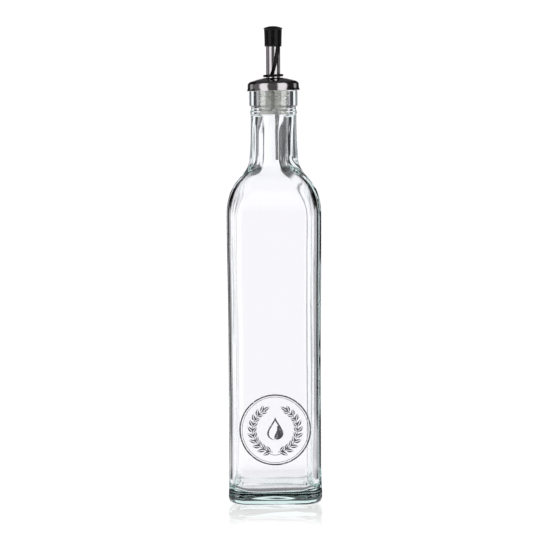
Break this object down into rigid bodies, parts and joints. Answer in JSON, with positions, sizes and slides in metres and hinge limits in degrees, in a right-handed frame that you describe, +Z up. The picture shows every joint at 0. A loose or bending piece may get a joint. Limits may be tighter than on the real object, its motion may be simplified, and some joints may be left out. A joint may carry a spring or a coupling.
{
  "type": "oil bottle",
  "caption": "Tall square clear glass bottle for oil or vinegar, with a pull-out steel pourer and a soft tip cap on a strap.",
  "frame": {"origin": "middle of the base, on the surface that the bottle stands on", "axes": "+Z up along the bottle's axis, -Y towards the printed front, +X to the right of someone who faces the front"},
  "size_m": [0.0594, 0.0594, 0.3014],
  "materials": {
    "glass": "clear with a faint green tint, slightly wavy",
    "ink": "fired dark grey screen print",
    "plug_plastic": "translucent soft plastic",
    "dome_steel": "pressed and lightly polished",
    "spout_steel": "drawn and polished",
    "vent_plastic": "translucent tube",
    "cap_rubber": "satin black",
    "strap_rubber": "satin black"
  },
  "bodies": {
    "bottle": {"bottle": "glass"},
    "pourer": {"stopper": "plug_plastic", "dome_cap": "dome_steel", "spout_tube": "spout_steel", "vent_tube": "vent_plastic"},
    "tether": {"strap_ring": "strap_rubber", "cap_strap": "strap_rubber"},
    "cap": {"tip_cap": "cap_rubber"}
  },
  "joints": [
    {"name": "pourer_pull", "type": "slide", "parent": "bottle", "child": "pourer", "axis": [0, 0, 1], "range_m": [0, 0.06]},
    {"name": "tether_turn", "type": "hinge", "parent": "pourer", "child": "tether", "pos_m": [0, 0, 0.2702], "axis": [0, 0, 1], "continuous": true},
    {"name": "cap_pull", "type": "slide", "parent": "tether", "child": "cap", "axis": [0, 0, 1], "range_m": [0, 0.013], "deforming": ["cap_strap"]}
  ]
}
